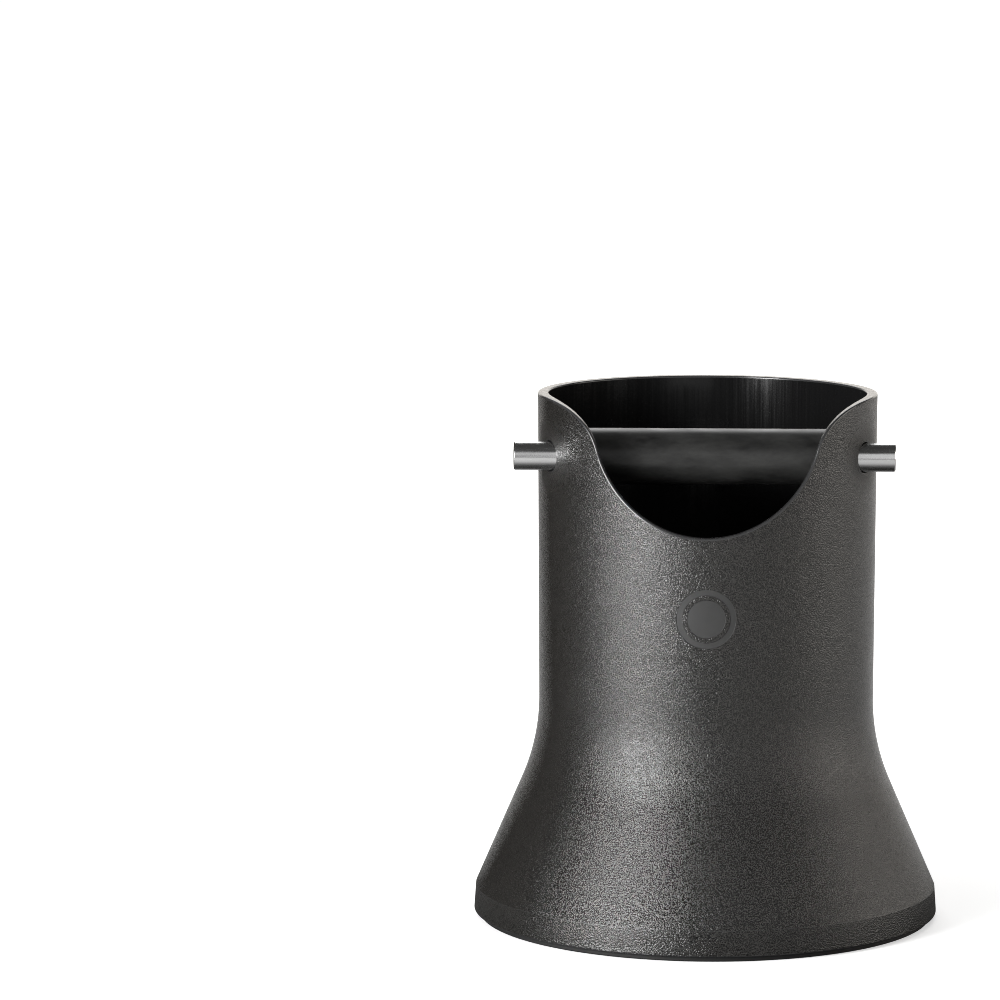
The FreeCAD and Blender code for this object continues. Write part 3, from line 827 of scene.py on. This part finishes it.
def gloss_plastic():
    """The polished inside of the body, with faint drag lines from the mould's core."""
    nodes = Nodes("gloss_plastic")
    dark, light = (0.004, 0.004, 0.0042), (0.007, 0.007, 0.007)
    drag = nodes.noise(0.8 * MM, detail=2, place=nodes.stretched((1.0, 1.0, 0.02)))
    nodes.link(nodes.blend(nodes.noise(15 * MM), dark, light), "Base Color")
    nodes.link(nodes.levels(drag, (0.34, 0.66), (0.13, 0.22)), "Roughness")
    nodes.set(Specular_IOR_Level=0.35)
    nodes.bump([(drag, 0.002 * MM), (nodes.noise(12 * MM), 0.05 * MM)])
    return nodes.material


def polished_plastic():
    """The smooth face of the roundel."""
    nodes = Nodes("polished_plastic")
    dark, light = (0.020, 0.020, 0.0205), (0.026, 0.026, 0.025)
    nodes.link(nodes.blend(nodes.noise(3 * MM), dark, light), "Base Color")
    nodes.link(nodes.levels(nodes.noise(2 * MM), (0.3, 0.7), (0.42, 0.5)), "Roughness")
    nodes.bump([(nodes.noise(0.4 * MM), 0.004 * MM)])
    return nodes.material


def floor_plastic():
    """The welded floor's black plastic."""
    nodes = Nodes("floor_plastic")
    dark, light = (0.010, 0.010, 0.0105), (0.016, 0.016, 0.016)
    nodes.link(nodes.blend(nodes.noise(15 * MM), dark, light), "Base Color")
    nodes.link(nodes.levels(nodes.noise(5 * MM, detail=4), (0.3, 0.7), (0.24, 0.36)), "Roughness")
    nodes.bump([(nodes.noise(0.6 * MM), 0.008 * MM), (nodes.noise(14 * MM), 0.05 * MM)])
    return nodes.material


def rubber(name, dark, light, roughness, grain):
    """Black rubber in soft patches between two colours, and a fine grain of a height."""
    nodes = Nodes(name)
    # Soft lighter and darker patches, stretched along the tube.
    soft_patches = nodes.noise(9 * MM, detail=6, roughness=0.7, place=nodes.stretched((0.45, 1.0, 1.0)))
    nodes.link(nodes.blend(nodes.levels(soft_patches, (0.38, 0.66), (0.0, 1.0)), dark, light), "Base Color")
    nodes.link(nodes.levels(nodes.noise(8 * MM, detail=4), (0.3, 0.7), roughness), "Roughness")
    nodes.set(Specular_IOR_Level=0.36)
    nodes.bump([(nodes.noise(0.35 * MM, detail=3), grain), (nodes.noise(9 * MM), 0.05 * MM)])
    return nodes.material


def brushed_steel():
    """Drawn stainless bar, with fine lines along its length."""
    nodes = Nodes("brushed_steel")
    dark, light = (0.52, 0.52, 0.52), (0.78, 0.78, 0.78)
    lines = nodes.noise(0.25 * MM, detail=5, roughness=0.7, place=nodes.stretched((0.03, 1.0, 1.0)))
    nodes.link(nodes.blend(lines, dark, light), "Base Color")
    nodes.link(nodes.levels(lines, (0.3, 0.7), (0.17, 0.28)), "Roughness")
    nodes.set(Metallic=1.0)
    nodes.bump([(lines, 0.006 * MM)])
    return nodes.material


# ------------------------------------------------------------------ studio

def area_light(name, azimuth, elevation, size, power, colour=WHITE, distance=LIGHT_DISTANCE):
    """A softbox aimed at the object. Azimuth 0 is the front and a positive azimuth is to the right."""
    data = bpy.data.lights.new(name, "AREA")
    data.shape = "RECTANGLE"
    data.size, data.size_y = size
    data.energy = power
    data.color = colour
    light = added(name, data)
    azimuth, elevation = math.radians(azimuth), math.radians(elevation)
    level = math.cos(elevation)
    away = Vector((math.sin(azimuth) * level, -math.cos(azimuth) * level, math.sin(elevation)))
    light.location = Vector(LIGHT_AIM) + away * distance
    light.rotation_euler = away.to_track_quat("Z", "Y").to_euler()
    return light


def make_lights():
    """A key light from the front left with a bright core, and weaker lights round the object."""
    area_light("key", -46, 10, (0.9, 1.2), 12)
    area_light("key_core", -45, 12, (0.48, 0.75), 41)
    area_light("front", 19, 15, (1.4, 1.2), 4.0)
    area_light("front_right", 56, 5, (0.8, 0.6), 1.2, WARM)
    area_light("right", 92, 9, (1.2, 0.6), 7.5, WARM)
    area_light("right_behind", 140, 5, (0.7, 0.5), 0.8, WARM)
    area_light("backdrop", 180, 8, (1.6, 0.5), 4, WARM)
    overhead = area_light("overhead", 0, 88, (1.4, 0.5), 7, distance=OVERHEAD_DISTANCE)
    overhead.visible_glossy = False
    area_light("behind", 180, 38, (1.2, 0.9), 9)


def make_world():
    """White for the camera and a dim even light for everything else."""
    world = bpy.data.worlds.new("studio")
    world.use_nodes = True
    tree = world.node_tree
    tree.nodes.clear()
    path = tree.nodes.new("ShaderNodeLightPath")
    dim, white = tree.nodes.new("ShaderNodeBackground"), tree.nodes.new("ShaderNodeBackground")
    dim.inputs["Color"].default_value = (*AMBIENT, 1.0)
    white.inputs["Color"].default_value = (*WHITE, 1.0)
    mix = tree.nodes.new("ShaderNodeMixShader")
    output = tree.nodes.new("ShaderNodeOutputWorld")
    tree.links.new(path.outputs["Is Camera Ray"], mix.inputs[0])
    tree.links.new(dim.outputs[0], mix.inputs[1])
    tree.links.new(white.outputs[0], mix.inputs[2])
    tree.links.new(mix.outputs[0], output.inputs["Surface"])
    bpy.context.scene.world = world


def stage_nodes(name):
    """The nodes of a matt material for the stage."""
    nodes = Nodes(name)
    nodes.set(Roughness=0.9, Specular_IOR_Level=0.1)
    return nodes


def stage_sheet(name, corners, material):
    """A flat four-cornered sheet that isn't part of the object."""
    mesh = bpy.data.meshes.new(name)
    mesh.from_pydata(corners, [], [(0, 1, 2, 3)])
    mesh.materials.append(material)
    sheet = added(name, mesh)
    return sheet


def floor_fade(nodes, centre, near_far, values):
    """A value that changes smoothly with the distance from a point on the floor."""
    return nodes.levels(nodes.distance(nodes.place, centre), near_far, values, "SMOOTHSTEP")


def make_floor():
    """A pale floor. The camera sees it glow. In reflections its colour holds painted light and shade: a
    painted contact shadow round the object's foot, and a painted pool of light that fades to dark far
    away, soonest in front."""
    nodes = stage_nodes("pale_floor")
    nodes.set(Emission_Color=(*WHITE, 1.0))
    seen = nodes.tree.nodes.new("ShaderNodeLightPath").outputs["Is Camera Ray"]
    middle = (0.0, 0.0, 0.0)
    glow = floor_fade(nodes, middle, GLOW_NEAR_FAR, GLOW)
    nodes.link(nodes.combined("MULTIPLY", glow, seen), "Emission Strength")
    # A painted pool of light for reflections: pale near the object, painted dark far away, soonest in
    # front.
    bounce = floor_fade(nodes, BOUNCE_CENTRE, BOUNCE_NEAR_FAR, BOUNCE)
    # A painted contact shadow round the object's foot, seen only in reflections.
    painted_contact_shadow = floor_fade(nodes, middle, PAINTED_CONTACT_SHADOW_NEAR_FAR, PAINTED_CONTACT_SHADOW)
    shade = nodes.tree.nodes.new("ShaderNodeMapRange")
    shade.inputs["To Max"].default_value = FLOOR_SHADE
    nodes.tree.links.new(nodes.combined("MULTIPLY", bounce, painted_contact_shadow), shade.inputs["To Min"])
    nodes.tree.links.new(seen, shade.inputs["Value"])
    nodes.link(shade.outputs["Result"], "Base Color")
    reach = FLOOR_REACH
    corners = [(-reach, -reach, 0.0), (reach, -reach, 0.0), (reach, reach, 0.0), (-reach, reach, 0.0)]
    floor = stage_sheet("floor", corners, nodes.material)
    floor.location.z = -FLOOR_GAP


def make_flag():
    """A dark card behind the left edge, seen only in reflections."""
    nodes = stage_nodes("dark_card")
    nodes.set(Base_Color=FLAG_COLOUR)
    corners = [FLAG_NEAR_FOOT, FLAG_FAR_FOOT, FLAG_FAR_TOP, FLAG_NEAR_TOP]
    flag = stage_sheet("flag", corners, nodes.material)
    flag.visible_camera = False
    flag.visible_shadow = False
    flag.visible_diffuse = False


def make_camera():
    """A long lens in front of the object, looking slightly down."""
    data = bpy.data.cameras.new("camera")
    data.lens = CAMERA_LENS
    data.sensor_width = CAMERA_SENSOR
    camera = added("camera", data)
    camera.location = CAMERA_PLACE
    camera.rotation_euler = (math.radians(90 - CAMERA_DOWN), 0.0, math.radians(CAMERA_TURN))
    bpy.context.scene.camera = camera


# ------------------------------------------------------------------ the scene

def stand_for(piece, body, node):
    """Puts a piece in a CAD node's place: it moves with the body, and the CAD node is hidden."""
    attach(piece, body)
    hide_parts(node)


def finish_plate(material):
    """Gives the CAD floor plate its material and slightly softened edges."""
    plate = frame["nodes"]["base_plate"]
    plate.material_slots[0].material = material
    edges = plate.modifiers.new("edges", "BEVEL")
    edges.width = PLATE_BEVEL
    edges.segments = 2
    edges.limit_method = "ANGLE"


shell_materials = [grained_plastic(), satin_plastic(), gloss_plastic(), polished_plastic()]
sleeve_dark, sleeve_light = (0.006, 0.006, 0.0059), (0.022, 0.022, 0.0212)
sleeve_rubber = rubber("sleeve_rubber", sleeve_dark, sleeve_light, (0.30, 0.42), 0.01 * MM)
foot_dark, foot_light = (0.008, 0.008, 0.008), (0.012, 0.012, 0.012)
foot_rubber = rubber("foot_rubber", foot_dark, foot_light, (0.6, 0.75), 0.02 * MM)

stand_for(make_body(shell_materials), "shell", "body_shell")
stand_for(make_rod(brushed_steel()), "rod", "knock_rod")
stand_for(make_sleeve(sleeve_rubber), "sleeve", "rubber_sleeve")
stand_for(make_foot_ring(foot_rubber), "shell", "foot_ring")
finish_plate(floor_plastic())

make_floor()
make_flag()
make_world()
make_lights()
make_camera()

scene = bpy.context.scene
scene.view_settings.view_transform = "Standard"
scene.view_settings.look = "None"
scene.cycles.filter_width = 1.0
scene.cycles.denoising_prefilter = "NONE"
